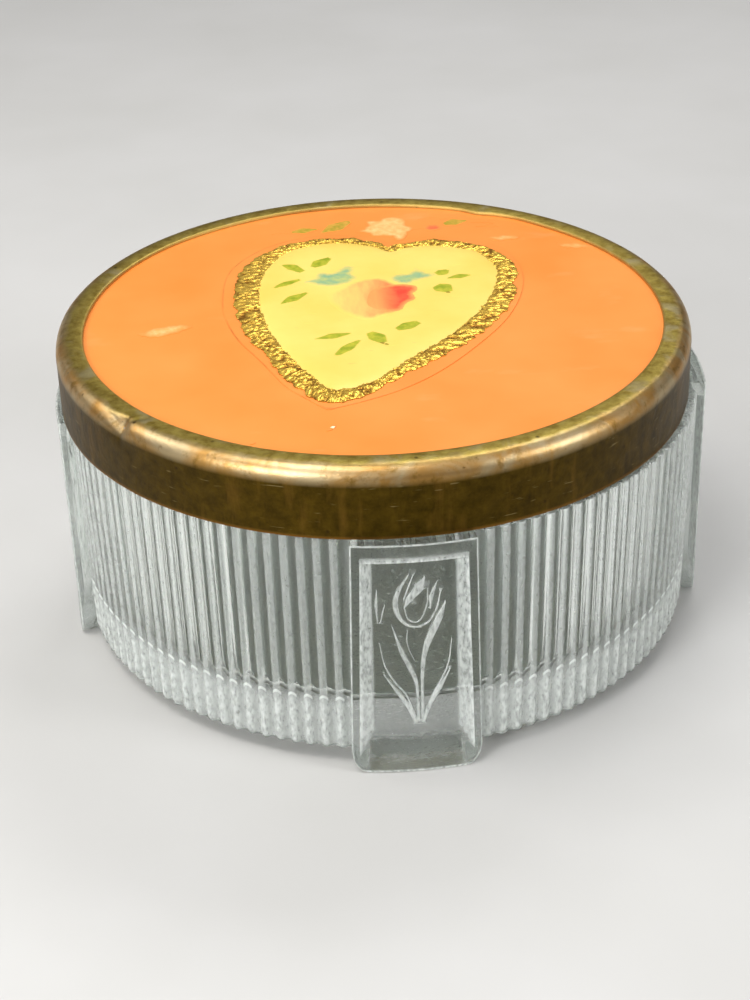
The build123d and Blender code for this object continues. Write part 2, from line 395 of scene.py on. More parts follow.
def brass_material():
    """Aged brass. The `band` runs from the lip over the shoulder, pale with wear and a painted highlight,
    and down the skirt, dark with patina and painted shade.
    """
    brass = Surface("aged_brass", Metallic=0.95)
    band = brass.stored("band")
    clouds = brass.noise(9, detail=6, warp=0.8)
    mottle = brass.noise(2.0, detail=6, roughness=0.65, seed=7)
    fine = brass.noise(0.5, detail=4, seed=12)
    drips = brass.noise(3.0, detail=5, stretch=(1, 1, 5), seed=5)
    lip = brass.blend(mottle, 0.36, 0.62, (134, 112, 40), (172, 152, 74))
    lip = brass.blend(clouds, 0.54, 0.66, lip, (176, 164, 128), 0.6)
    # The shoulder's pale colour: worn brass and a painted highlight where the shoulder catches the light.
    worn = brass.blend(clouds, 0.42, 0.6, (206, 184, 142), (196, 150, 84))
    worn = brass.blend(mottle, 0.45, 0.3, worn, (146, 112, 44), 0.7)
    # Skirt: dark patina with drips and stains, darkened further as painted shade for the dark reflection it
    # shows.
    skirt = brass.blend(mottle, 0.3, 0.7, (56, 42, 3), (86, 66, 13))
    skirt = brass.blend(drips, 0.55, 0.72, skirt, (126, 92, 34), 0.45)
    skirt = brass.blend(drips, 0.42, 0.3, skirt, (38, 27, 4), 0.5)
    ragged = brass.math("MULTIPLY_ADD", brass.noise(4, detail=4, seed=17), 0.12, -0.06)
    spots = brass.cells(4.5, seed=3)
    specks = brass.noise(0.8, detail=3, seed=21)
    scratches = brass.noise(0.5, detail=2, stretch=(9, 9, 1), seed=40)
    colour = lip
    for value, start, end, over, most in (
        # Pale shoulder band: wear and a painted highlight.
        (brass.math("ADD", band, ragged), 0.17, 0.26, worn, 1.0),
        # Dark skirt: patina and painted shade.
        (band, 0.33, 0.45, skirt, 1.0),
        (band, 0.95, 0.985, (140, 96, 38), 0.8),
        # Bare brass at the lip's edge and a painted edge highlight.
        (band, 0.05, 0.03, (206, 172, 96), 0.85),
        (spots, 0.1, 0.04, (52, 38, 12), 0.8),
        (specks, 0.68, 0.76, (80, 60, 20), 0.7),
        (scratches, 0.68, 0.74, (170, 150, 100), 0.35),
    ):
        colour = brass.blend(value, start, end, colour, over, most)
    rough = brass.ramp(band, (0.0, 0.52), (0.2, 0.4), (0.36, 0.42), (0.5, 0.5), (1.0, 0.52))
    bumps = brass.bumps((fine, 0.015), (clouds, 0.2), (mottle, 0.06))
    return brass.link(Base_Color=colour, Roughness=rough, Normal=bumps)


def celluloid_colour(disc):
    haze = disc.noise(7, detail=4, seed=9, stretch=(2.2, 1, 1))
    colour = disc.blend(disc.noise(24, detail=3), 0.3, 0.7, (250, 143, 56), (253, 156, 74))
    return disc.blend(haze, 0.62, 0.8, colour, (254, 180, 118), 0.4)


def celluloid_material():
    disc = Surface("peach_celluloid", Roughness=0.36, Specular_IOR_Level=0.3)
    bumps = disc.bumps((disc.noise(14, detail=2, seed=2), 0.05), (disc.noise(0.5, detail=3, seed=5), 0.003))
    return disc.link(Base_Color=celluloid_colour(disc), Normal=bumps)


def film_material():
    """The thin film under the heart: the disc's colour, with a painted shadow line along its edge, patchy
    and strongest on the left, fading to the right.
    """
    film = Surface("film_celluloid", Roughness=0.34, Specular_IOR_Level=0.35)
    # Painted shadow: a patchy darker line along the film's edge, strongest on the left.
    edge = film.ramp(film.stored("inside"), (0.12, 1.0), (0.3, 0.0))
    patches = film.ramp(film.noise(9, detail=3, seed=13), (0.42, 0.0), (0.62, 0.7))
    leftward = film.math("MULTIPLY_ADD", film.axis(0), -0.05, 0.45, clamp=True)
    worn = film.math("MULTIPLY", film.math("MULTIPLY", edge, patches), leftward)
    bumps = film.bumps((film.noise(14, detail=2, seed=2), 0.05))
    return film.link(Base_Color=film.mix(worn, celluloid_colour(film), (186, 104, 40)), Normal=bumps)


def foil_material():
    foil = Surface("gold_foil", Metallic=0.75)
    fine = foil.noise(0.3, detail=4)
    # Painted light: the crinkles' ridges painted bright as glints and their folds painted dark as shade.
    colour = foil.blend(foil.stored("crease"), 0.1, 0.6, (156, 102, 10), (250, 206, 84))
    colour = foil.blend(fine, 0.45, 0.75, colour, (206, 156, 40), 0.5)
    rough = foil.ramp(fine, (0.3, 0.22), (0.8, 0.42))
    return foil.link(Base_Color=colour, Roughness=rough, Normal=foil.bumps((fine, 0.05)))


def cream_colour(cream):
    return cream.blend(cream.noise(14, detail=3), 0.35, 0.65, (250, 212, 98), (253, 222, 114))


def cream_material():
    cream = Surface("cream_celluloid", Roughness=0.4, Specular_IOR_Level=0.35)
    scratches = cream.noise(0.8, detail=2, stretch=(5, 1, 1), seed=3)
    colour = cream.blend(scratches, 0.70, 0.76, cream_colour(cream), (200, 170, 84), 0.5)
    return cream.link(Base_Color=colour, Normal=cream.bumps((cream.noise(5, detail=4, seed=6), 0.08)))


def plain_material(name, shades, size, roughness, metallic=0.0, depth=0.05):
    """Card, paper or wire: two shades in fine noise, with a matching bump."""
    plain = Surface(name, Roughness=roughness, Metallic=metallic)
    grain = plain.noise(size, detail=5)
    colour = plain.blend(grain, 0.35, 0.65, *shades)
    return plain.link(Base_Color=colour, Normal=plain.bumps((grain, depth)))


def brushed(low, high, size=2.0):
    """The colour of paint that varies between two shades."""
    return lambda paint: paint.blend(paint.noise(size, detail=4), 0.35, 0.65, low, high)


def paint_material(name, colour, soft, ground=cream_colour, fade=None):
    """Brushed paint. Within `soft` of a stroke's edge it thins unevenly until the ground shows through, and
    it may fade by a level of its own. The colours are functions of the surface."""
    paint = Surface(name, Roughness=0.45, Specular_IOR_Level=0.35)
    ragged = paint.math("MULTIPLY_ADD", paint.noise(0.7, detail=4, seed=31), 0.9, -0.3)
    inside = paint.math("DIVIDE", paint.stored("inside"), soft)
    cover = paint.math("SUBTRACT", inside, ragged, clamp=True)
    if fade:
        cover = paint.math("MULTIPLY", cover, fade(paint))
    return paint.link(Base_Color=paint.mix(cover, ground(paint), colour(paint)))


# --- Bowl ---

def straight(low, high, steps):
    return list(np.linspace(low, high, steps + 1)[1:])


EDGE = 0.12
FACE_ROWS = (
    [0.12, 0.35, 0.7, 1.2, 1.9, WINDOW_BOTTOM - EDGE, WINDOW_BOTTOM]
    + straight(WINDOW_BOTTOM, SUNK_BOTTOM, BEVEL_STEPS)
    + straight(SUNK_BOTTOM, SUNK_TOP, SUNK_ROWS)
    + straight(SUNK_TOP, WINDOW_TOP, BEVEL_STEPS)
    + [WINDOW_TOP + EDGE, 41.6, 42.9, 43.2, 43.34]
)
FIRST_SUNK_ROW = FACE_ROWS.index(WINDOW_BOTTOM) + BEVEL_STEPS


def rounded(radius, gap):
    """How far a rounded edge stands back from its square edge, at a gap from the end of the face."""
    return radius - math.sqrt(radius**2 - max(0, radius - gap) ** 2)


def face_row(height):
    """The row at a height on the panels' faces. Below the windows' floors the ribs' heights are squeezed,
    because the ribs end above the panels' feet."""
    foot = BASE_Z + 0.2
    z = foot + height / SUNK_BOTTOM * (SUNK_BOTTOM - foot) if height < SUNK_BOTTOM else height
    crest = np.interp(z, [BASE_Z, PANEL_TOP], [RIB_FOOT_R, RIB_TOP_R])
    crest -= rounded(RIB_FOOT_ROUND, z - BASE_Z) + rounded(RIB_TOP_ROUND, PANEL_TOP - z)
    radius = PANEL_R - rounded(PANEL_ROUND, PANEL_TOP - height) - max(0, 0.35 - height) * 0.35
    return (radius, height), (crest - RIB_DEPTH, z), 1.0, height


def bowl_rows():
    """The bowl's section from the middle of its underside, out, up, over the neck and in to the floor.
    Each row has its radius and height through a panel and through the ribs, how strongly the ribs show,
    and its height if it lies on the panels' faces."""
    hollow = [(0.6, BASE_Z + 0.45), (16, BASE_Z + 0.41), (32, BASE_Z + 0.24), (44, BASE_Z), (49.6, BASE_Z)]
    underside = [
        ((50.0, 0.4), (50.2, BASE_Z), 0.0),
        ((50.5, 0.0), (51.2, BASE_Z), 0.0),
        ((53.2, 0.0), (52.2, BASE_Z), 0.3),
        ((55.9, 0.0), (53.1, BASE_Z + 0.02), 0.7),
        ((56.7, 0.06), (53.75, BASE_Z + 0.12), 1.0),
    ]
    ledge = [((panel, PANEL_TOP), (rib, PANEL_TOP), ribs)
             for panel, rib, ribs in ((56.6, 54.0, 0.7), (54.6, 53.3, 0.15), (52.6, 52.6, 0.0))]
    profile = [(52.15, 43.5), (52.0, 43.85), (NECK_R, 46.5), (NECK_R, 51.2)]
    middle, half = (NECK_R + CAVITY_TOP_R) / 2, (NECK_R - CAVITY_TOP_R) / 2
    for c, s in arc(0, 180, 9):
        out = middle + half * math.copysign(abs(c) ** 0.6, c)
        profile.append((out, NECK_TOP - NECK_EDGE + NECK_EDGE * s**0.6))
    for z in (42, 28, 15):
        profile.append((np.interp(z, [CAVITY_FLOOR_Z, NECK_TOP], [CAVITY_FLOOR_R, CAVITY_TOP_R]), z))
    for c, s in arc(0, 90, 8):
        profile.append((CAVITY_FLOOR_R - CAVITY_CORNER_R * (1 - c) + 0.05,
                        CAVITY_FLOOR_Z + CAVITY_CORNER_R * (1 - s)))
    profile += [(r, CAVITY_FLOOR_Z) for r in (40, 28, 14, 0.6)]
    rows = [(point, point, 0.0) for point in hollow] + underside
    rows += [face_row(height) for height in FACE_ROWS] + ledge
    return rows + [(point, point, 0.0) for point in profile]


def panel_half(height):
    """Half the width of a panel at a height: it widens to its foot, whose lower corners are round."""
    half = np.interp(height, [0, PANEL_TOP], [FOOT_HALF, SHOULDER_HALF])
    low = max(0, FOOT_CORNER_UP - height) / FOOT_CORNER_UP
    return half - FOOT_CORNER_ACROSS * (1 - math.sqrt(max(0, 1 - low**2)))


def panel_columns():
    """Columns across a panel, from its left root to its right: how far out each stands, from 0 at the
    wall to 1 at the face, where it lies, as a share of the edge, bar, bevel or sunk floor, and its side."""
    sides = ((0.0, 0), (0.5, 0), (0.9, 0), (0.985, 0.12), (1.0, 0.4))
    columns = [(out, "edge", back) for out, back in sides]
    columns += [(1.0, "bar", 0.5), (1.0, "bar", 0.93)]
    columns += [(1.0, "bevel", step / BEVEL_STEPS) for step in range(BEVEL_STEPS + 1)]
    half = SUNK_COLUMNS // 2
    columns += [(1.0, "sunk", 1 - step / half) for step in range(1, half)]
    left, right = ([(*column, side) for column in columns] for side in (-1, 1))
    return left + [(1.0, "sunk", 0.0, 1)] + right[::-1]


def panel_across(kind, share, height):
    """Distance of a column from the panel's middle at a height, along the panel's round face."""
    edge = panel_half(height)
    window = min(np.interp(height, [WINDOW_BOTTOM, WINDOW_TOP], WINDOW_HALVES), edge - NARROWEST_BAR)
    sunk = min(np.interp(height, [SUNK_BOTTOM, SUNK_TOP], SUNK_HALVES), window - NARROWEST_BEVEL)
    return {
        "edge": edge - share,
        "bar": edge + (window - edge) * share,
        "bevel": window + (sunk - window) * share,
        "sunk": sunk * share,
    }[kind]


def window_place(kind, share, height):
    """Shares of the way down the side bevel and down the end bevels, each from 0 to 1."""
    side = {"edge": 0.0, "bar": 0.0, "bevel": share, "sunk": 1.0}[kind]
    bottom = (height - WINDOW_BOTTOM) / (SUNK_BOTTOM - WINDOW_BOTTOM)
    top = (WINDOW_TOP - height) / (WINDOW_TOP - SUNK_TOP)
    return side, min(max(bottom, 0), 1), min(max(top, 0), 1)


def panel_frost_and_highlight(out, kind, share, height):
    """How satin the glass is, up to 1: on the panel's sides and edges and on its window's side and top
    bevels, and in thin lines along the panel's foot and top and just above its window, which are painted
    edge highlights as well as satin. The bars, the bottom bevel and the floor are clear."""
    side, bottom, top = window_place(kind, share, height)
    if out < 0.95:
        return 0.3
    if kind == "edge" and share < 0.3:
        return 1.0
    # Painted edge highlights, partly satin: thin lines of full satin along the panel's foot and top.
    if height < 0.4 or height > PANEL_TOP - 0.1:
        return 1.0
    # Painted edge highlight: a thin line of full satin just above the window's top.
    if kind in ("bevel", "sunk") and WINDOW_TOP <= height < WINDOW_TOP + 1.1 * EDGE:
        return 1.0
    if kind in ("edge", "bar") or not WINDOW_BOTTOM < height <= WINDOW_TOP:
        return 0.0
    if top <= side:
        return 0.9 if top < 1 else 0.0
    if side < bottom:
        return 1.0 if side == 0 else 0.7
    return 0.0


def rib_frost(swell, z):
    """How satin a rib is: along its crest, and all over below its cap."""
    frost_and_highlight = RIB_FROST * min(1, max(0, 4 * swell - 1.6))
    return max(frost_and_highlight, 0.42 + 0.5 * swell) if z < CAP_HIGHLIGHT_Z - 1 else frost_and_highlight


def bowl_ring(panel, rib_foot, ribs, face=None):
    """One row all round the bowl from the left root of the front panel: each point with its frost, how far
    up a rib it stands, and whether it lies on a mitre of a window's bevels."""
    ring = []
    (radius, z), (wall, wall_z) = panel, rib_foot
    on_face = face is not None
    height = face if on_face else min(max(z, 0), PANEL_TOP)
    for quarter in range(4):
        facing = math.radians(FRONT + quarter * QUARTER)
        for out, kind, share, side in panel_columns():
            places = window_place(kind, share, height)
            sunk = WINDOW_DEPTH * min(places) if on_face else 0.0
            r = wall + (radius - wall) * out - sunk
            level = wall_z + (z - wall_z) * min(out * 2, 1)
            turn = facing + side * panel_across(kind, share, height) / PANEL_R
            frost_and_highlight = panel_frost_and_highlight(out, kind, share, height) if on_face else 0.0
            mitre = on_face and abs(places[0] - min(places[1:])) < 1e-6
            ring.append(((*polar(r, turn), level), frost_and_highlight, 0.0, mitre))
        for step in range(RIBS_PER_QUARTER * SAMPLES_PER_RIB + 1):
            rib = min(step // SAMPLES_PER_RIB, RIBS_PER_QUARTER - 1)
            share = 2 * (step - rib * SAMPLES_PER_RIB) / SAMPLES_PER_RIB - 1
            swell = 0.5 + 0.5 * math.cos(math.pi * share)
            turn = facing + math.radians(PLAIN_HALF + (rib + (share + 1) / 2) * RIB_PITCH)
            place = (*polar(wall + RIB_DEPTH * ribs * swell, turn), wall_z)
            frost_and_highlight = rib_frost(swell, wall_z) if on_face else 0.0
            ring.append((place, frost_and_highlight, swell * on_face, False))
    return ring


def split_mitres(faces, mitre):
    """Halves each face that a mitre crosses, along the mitre."""
    parts = []
    for face in faces:
        if mitre[face[0]] and mitre[face[2]]:
            parts += [face[:3], (face[0], face[2], face[3])]
        elif mitre[face[1]] and mitre[face[3]]:
            parts += [(face[0], face[1], face[3]), face[1:]]
        else:
            parts.append(face)
    return parts


# The tulip on a panel's sunk floor, as strokes: places across and up the panel, each with a width.
TULIP = [
    [(1.0, 27.75, 0.2), (-1.2, 28.2, 0.45), (-2.7, 30.0, 0.75), (-3.1, 32.4, 0.95), (-2.5, 34.8, 0.8),
     (-1.0, 37.4, 0.15)],
    [(-1.8, 32.9, 0.15), (-1.1, 34.9, 0.4), (-0.3, 37.2, 0.15)],
    [(-1.65, 31.6, 0.25), (-0.7, 33.3, 1.3), (0.6, 34.9, 1.8), (1.65, 37.1, 0.2)],
    [(-1.7, 31.4, 0.25), (-1.2, 29.4, 0.3), (0.0, 28.6, 0.3), (1.1, 29.4, 0.3), (2.0, 32.0, 0.3),
     (2.1, 34.6, 0.2)],
    [(0.3, 27.7, 0.3), (2.2, 28.6, 0.35), (3.5, 31.0, 0.4), (4.15, 34.0, 0.2)],
    [(2.5, 31.5, 0.3), (2.7, 33.4, 0.9), (3.5, 35.7, 0.2)],
    [(0.95, 9.9, 0.5), (1.0, 14.0, 0.5), (1.1, 19.6, 0.7), (1.7, 23.6, 1.0), (2.9, 27.0, 1.5),
     (4.0, 29.4, 1.3), (4.9, 32.1, 0.15)],
    [(0.3, 9.85, 0.5), (0.25, 13.5, 0.5), (0.0, 17.2, 0.7), (-1.1, 20.3, 0.95), (-2.3, 23.2, 0.8),
     (-3.7, 28.0, 0.15)],
    [(-0.2, 21.3, 0.15), (-1.0, 23.3, 0.25), (-1.4, 25.3, 0.25), (-1.25, 27.0, 0.2)],
    [(-0.05, 9.8, 0.4), (-1.6, 14.6, 0.35), (-3.6, 17.5, 0.35), (-5.1, 20.8, 0.3), (-5.8, 24.9, 0.15)],
    [(-0.25, 9.65, 0.7), (-1.5, 12.8, 0.9), (-3.2, 15.6, 0.7), (-5.2, 18.9, 0.15)],
    [(1.25, 9.75, 0.4), (2.6, 14.2, 0.35), (4.3, 17.5, 0.35), (5.4, 20.6, 0.3), (5.9, 24.8, 0.15)],
    [(1.15, 9.6, 0.7), (2.3, 12.9, 0.9), (3.8, 15.6, 0.8), (5.5, 19.0, 0.15)],
    [(-6.0, 28.9, 0.15), (-6.2, 32.0, 0.6), (-6.0, 35.0, 0.15)],
    [(-5.5, 29.0, 0.15), (-5.2, 30.6, 0.35), (-4.8, 32.0, 0.15)],
]
TULIP_RELIEF = 0.45
TULIP_FROST = 0.72
BROAD = 0.3


def closed_lines(first, count):
    return [(first + i, first + (i + 1) % count) for i in range(count)]


def tulip_patch(border):
    """Triangles of a sunk floor with the tulip raised on it. `border` is the floor's outline, as places
    across and up. Returns the places, which outline place each one is (-1 for none), how far each stands
    out from 0 to 1, and the triangles."""
    strokes = [stroke_line(stroke, 8 * len(stroke)) for stroke in TULIP]
    points, lines = list(border), closed_lines(0, len(border))
    for line, half in strokes:
        for share in (1.0, 0.7, 0.4):
            outline = stroke_outline(line, half, share)
            lines += closed_lines(len(points), len(outline))
            points += list(outline)
        lines += closed_lines(len(points), len(line))[:-1]
        points += list(line)
    low, high = np.min(border, axis=0), np.max(border, axis=0)
    middle = (low + high) / 2
    points += [middle + (np.array(place) - middle) * (1 - EDGE / (high - middle)) for place in border]
    inset, spread = 0.6, 1.1
    across, up = (np.arange(low[i] + inset, high[i] - inset, spread) for i in (0, 1))
    points += [(x, z) for x in across for z in up]
    places, faces = triangulate(points, lines)
    gaps = np.linalg.norm(places[:, None] - np.array(border)[None], axis=2)
    edge = np.where(gaps.min(axis=1) < 1e-3, gaps.argmin(axis=1), -1)
    faces = [face for face in faces if min(edge[list(face)]) < 0 or area(places[list(face)]) > 0.01]
    rise = np.zeros(len(places))
    for line, half in strokes:
        height = min(1, half.max() / BROAD)
        rise = np.maximum(rise, height * stroke_rise(places, line, half))
    return places, edge, rise, faces


def add_floor(points, frost_and_highlight, ribs, facing, floor):
    """Adds a window's sunk floor inside a block of numbered points. Returns the floor's faces."""
    loop = [*floor[0, :-1], *floor[:-1, -1], *floor[-1, :0:-1], *floor[:0:-1, 0]]
    border = []
    for index in loop:
        x, y, z = points[index]
        turn = (math.atan2(y, x) - facing + math.pi) % (2 * math.pi) - math.pi
        border.append((turn * PANEL_R, z))
    places, edge, rise, patch = tulip_patch(border)
    numbers = []
    for (across, up), at, stands in zip(places, edge, rise):
        numbers.append(int(loop[at]) if at >= 0 else len(points))
        if at < 0:
            r = PANEL_R - WINDOW_DEPTH + TULIP_RELIEF * stands
            points.append((*polar(r, facing + across / PANEL_R), up))
            frost_and_highlight.append(TULIP_FROST * min(1.0, stands * 1.6))
            ribs.append(0.0)
    return [tuple(numbers[i] for i in face) for face in patch]


def glass_bowl():
    rows = bowl_rows()
    rings = [bowl_ring(*row) for row in rows]
    columns, count = len(rings[0]), len(rings)
    points, frost_and_highlight, ribs, mitre = (list(each) for each in zip(*(point for ring in rings for point in ring)))
    first_row = [len(row) for row in rows].index(4) + FIRST_SUNK_ROW
    first_column = [kind for _, kind, _, _ in panel_columns()].index("sunk") - 1
    numbers = np.arange(len(points)).reshape(count, columns)[first_row:first_row + SUNK_ROWS + 1]
    starts = range(first_column, columns, columns // 4)
    floors = [numbers[:, start:start + SUNK_COLUMNS + 1] for start in starts]
    sunk = {index for floor in floors for index in floor[:-1, :-1].flat}
    faces = split_mitres([face for face in grid_faces(count, columns) if face[0] not in sunk], mitre)
    for start, order in ((0, -1), ((count - 1) * columns, 1)):
        centre = len(points)
        points.append((0, 0, points[start][2]))
        frost_and_highlight.append(0.0)
        ribs.append(0.0)
        faces += [(centre, *pair[::order]) for pair in closed_lines(start, columns)]
    for quarter, floor in enumerate(floors):
        faces += add_floor(points, frost_and_highlight, ribs, math.radians(FRONT + quarter * QUARTER), floor)
    points, faces, levels = weld(points, faces, list(zip(frost_and_highlight, ribs)))
    bowl = new_object("glass_bowl_moulded", points, faces, glass_material(), "bowl", sharp=24)
    for name, values in zip(("frost_and_highlight", "rib"), zip(*levels)):
        store(bowl, name, values)
    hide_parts("glass_bowl")


# --- Lid ---

def rim_profile():
    """The brass rim's closed section as radius, height and band: the band runs from 0 at the lip's edge,
    over the shoulder and down the skirt to 1 at its bottom edge, and stays 1 on the inside."""
    outside = [(LIP_R, PANEL_FACE + 0.02), (LIP_R, PANEL_FACE + 0.3), (LIP_R + 0.06, PANEL_FACE + 0.45),
               (LIP_R + 0.22, PANEL_FACE + 0.56)]
    for share in np.linspace(0, 1, 8):
        outside.append((LIP_R + 0.5 + 2.0 * share, LID_TOP - 0.06 + 0.06 * math.sin(math.pi * share * 0.8)))
    shoulder_across = LID_R - outside[-1][0]
    for c, s in arc(8, 90, 14):
        outside.append((LID_R - shoulder_across * (1 - s), LID_TOP - 0.03 - SHOULDER_DOWN * (1 - c)))
    for z in np.linspace(outside[-1][1], SKIRT_BOTTOM + 0.25, 12)[1:]:
        outside.append((LID_R - 0.02, z))
    outside += [(LID_R - 0.06, SKIRT_BOTTOM + 0.06), (LID_R - SHEET / 2, SKIRT_BOTTOM)]
    run = np.concatenate([[0], np.cumsum(np.linalg.norm(np.diff(outside, axis=0), axis=1))])
    inside = [(LID_R - SHEET + 0.04, SKIRT_BOTTOM + 0.08), (LID_R - SHEET, SKIRT_BOTTOM + 0.4)]
    inside += [(LID_R - SHEET, z) for z in (46, 49, 52, 53.6)]
    for c, s in arc(80, 10, 8):
        inside.append((LID_R - SHEET - 1.6 * (1 - s), LID_TOP - SHEET - 2.0 * (1 - c)))
    inside += [(LIP_R + 1.5, LID_TOP - SHEET), (LIP_R + SHEET, LID_TOP - SHEET - 0.02),
               (LIP_R + SHEET, PANEL_FACE + 0.02)]
    return outside + inside, [*(run / run[-1]), *np.ones(len(inside))]


def bump_at(value, middle, reach):
    """A rounded hump of height 1 at the middle."""
    return math.exp(-(((value - middle) / reach) ** 2))


def round_rim(turn, place):
    """Length along the rim from a place, both as angles about the lid's axis."""
    return LID_R * math.radians((turn - place + 180) % 360 - 180)


def rim_dents(turn, radius, z):
    """Moves a place on the rim where it is dented: a pinch with a fold in the front left shoulder, a wave
    in the lip at the back right, and a slight unevenness all round."""
    along = round_rim(turn, PINCH_AT)
    pinch = math.exp(-abs(along) / (3.6 if along < 0 else 1.0))
    shoulder = bump_at(radius, 54.3, 1.5) * bump_at(z, 55.0, 2.0)
    fold = bump_at(along - 0.4 - 0.9 * (54.2 - radius), 0, 0.6) * bump_at(radius, 52.9, 1.3) * (z > 55)
    z -= DENT_DOWN * pinch * shoulder + FOLD_DOWN * fold
    radius -= DENT_IN * pinch * shoulder
    back = round_rim(turn, WAVE_AT)
    lip = bump_at(radius, LIP_R, 1.0) * (z > 55)
    radius -= lip * (WAVE_IN * bump_at(back, 1.0, 3.0) - WAVE_OUT * bump_at(back, -8, 4.5))
    c, s = cos_sin(turn)
    radius -= lip * LIP_UNEVEN * (noise.noise(Vector((c * 3, s * 3, 0.7))) + 0.5)
    uneven = noise.noise(Vector((c * 6, s * 6, z / 12)))
    return radius - UNEVEN * (uneven + 1) * (radius > 53.5), z


def lid_rim():
    section, band = rim_profile()
    columns = 900
    flat, heights = [], []
    for turn in np.arange(columns) * 360 / columns:
        for radius, z in section:
            radius, z = rim_dents(turn, radius, z)
            flat.append(polar(radius, math.radians(turn)))
            heights.append(z)
    faces = grid_faces(columns, len(section), close_rows=True)
    rim = new_object("brass_rim", lid_points(flat, heights), faces, brass_material(), "lid", sharp=60)
    store(rim, "band", band * columns)
    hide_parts("lid_rim")


def lid_panel():
    """The celluloid disc, very slightly uneven, with its chamfered edge under the rim."""
    top, low = PANEL_FACE, PANEL_FACE - (disc_high[2] - disc_low[2])
    radius = (disc_high[0] - disc_low[0]) / 2 - 1.4
    section = [(0.4, low), (radius * 0.5, low), (radius, low), (radius, top - 0.9)]
    section += [(radius - 1.4, top - 0.03), (radius - 1.8, top)]
    section += [(r, top) for r in np.linspace(radius - 2.8, 0.4, 26)]
    points, faces = turned(section, 180)
    on_top = points[:, 2] > top - 0.01
    points[on_top, 2] += 0.035 * (ripple(points[on_top], 22, seed=3, octaves=2) - 1)
    disc = new_object("celluloid_disc", points, faces, celluloid_material(), "lid")
    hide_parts("lid_panel")


# The heart's outlines about the lid's centre. The foil lies between the first two.
CREAM_LINE = [
    (-19.5, 10.5), (-18.3, 20.5), (-14.2, 29.0), (-9.6, 31.9), (-5.1, 33.0), (-0.6, 32.0), (3.2, 29.8),
    (5.6, 27.4), (8.4, 28.6), (13.2, 29.2), (18.0, 27.4), (22.0, 24.6), (24.2, 17.0), (22.6, 8.2),
    (18.2, -1.6), (11.8, -10.4), (4.8, -17.6), (-1.4, -24.4), (-6.2, -27.0), (-9.6, -26.6), (-12.6, -20.6),
    (-15.4, -13.6), (-18.0, -4.6), (-19.3, 3.4),
]
FOIL_LINE = [
    (-23.8, 10.4), (-22.4, 21.0), (-17.8, 29.6), (-12.6, 33.6), (-6.4, 35.5), (0.2, 34.2), (3.6, 31.8),
    (5.4, 29.9), (8.2, 30.9), (13.8, 31.5), (20.0, 29.5), (25.0, 25.4), (27.2, 17.2), (26.2, 7.6),
    (21.8, -3.4), (15.0, -12.6), (7.0, -19.8), (-0.2, -26.6), (-5.8, -30.6), (-11.0, -30.6), (-15.6, -23.2),
    (-18.8, -14.0), (-21.6, -6.4), (-23.2, 2.0),
]
BACKING_LINE = [
    (-25.9, 10.4), (-24.6, 21.6), (-20.2, 29.8), (-13.6, 35.2), (-6.2, 37.0), (0.8, 35.6), (4.4, 33.0),
    (5.6, 31.6), (8.0, 32.4), (14.0, 33.0), (20.6, 30.8), (26.0, 26.2), (28.4, 17.4), (27.2, 7.0),
    (22.8, -4.2), (15.8, -14.6), (9.0, -22.6), (2.4, -28.0), (-4.0, -31.3), (-8.6, -33.0), (-10.0, -33.4),
    (-10.9, -32.6), (-13.0, -29.6), (-16.4, -24.4), (-20.2, -14.4), (-23.6, -6.0), (-25.4, 2.0),
]
CREAM_OUTLINE = smooth_line(CREAM_LINE, 300, closed=True)


def slab(name, outline, low, height_of, material, spacing):
    """A closed plate with an upright edge. `height_of` gives its top at flat places, from them and their
    distances from the outline, which each vertex also keeps."""
    lo, hi = outline.min(axis=0), outline.max(axis=0)
    across, up = (np.arange(lo[i], hi[i], spacing) for i in (0, 1))
    spots = np.array([(x, y) for x in across for y in up])
    spots = spots[inside_distance(spots, outline) > 0.45 * spacing]
    places, triangles = triangulate([*outline, *spots], kind=1, loops=[range(len(outline))])
    depth = np.maximum(inside_distance(places, outline), 0)
    count = len(places)
    sides = [pair for face in triangles for pair in zip(face, face[1:] + face[:1])]
    shared = set(sides)
    faces = triangles + [tuple(i + count for i in face[::-1]) for face in triangles]
    faces += [(b, a, a + count, b + count) for a, b in sides if (b, a) not in shared]
    points = np.vstack([lid_points(places, height_of(places, depth)), lid_points(places, low)])
    plate = new_object(name, points, faces, material, "lid", sharp=50)
    store(plate, "inside", [*depth, *depth])
    return plate


def heart_backing():
    """The film under the heart, its edge worn down on the left."""
    def height(places, depth):
        worn = 0.35 + 0.65 * np.clip(0.5 - places[:, 0] / 20, 0, 1)
        return PLAQUE_FOOT - 0.1 * worn * np.exp(-depth / 0.25)

    outline = smooth_line(BACKING_LINE, 240, closed=True)
    plate = slab("heart_film", outline, PANEL_FACE - 0.05, height, film_material(), 2.5)
    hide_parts("heart_backing")


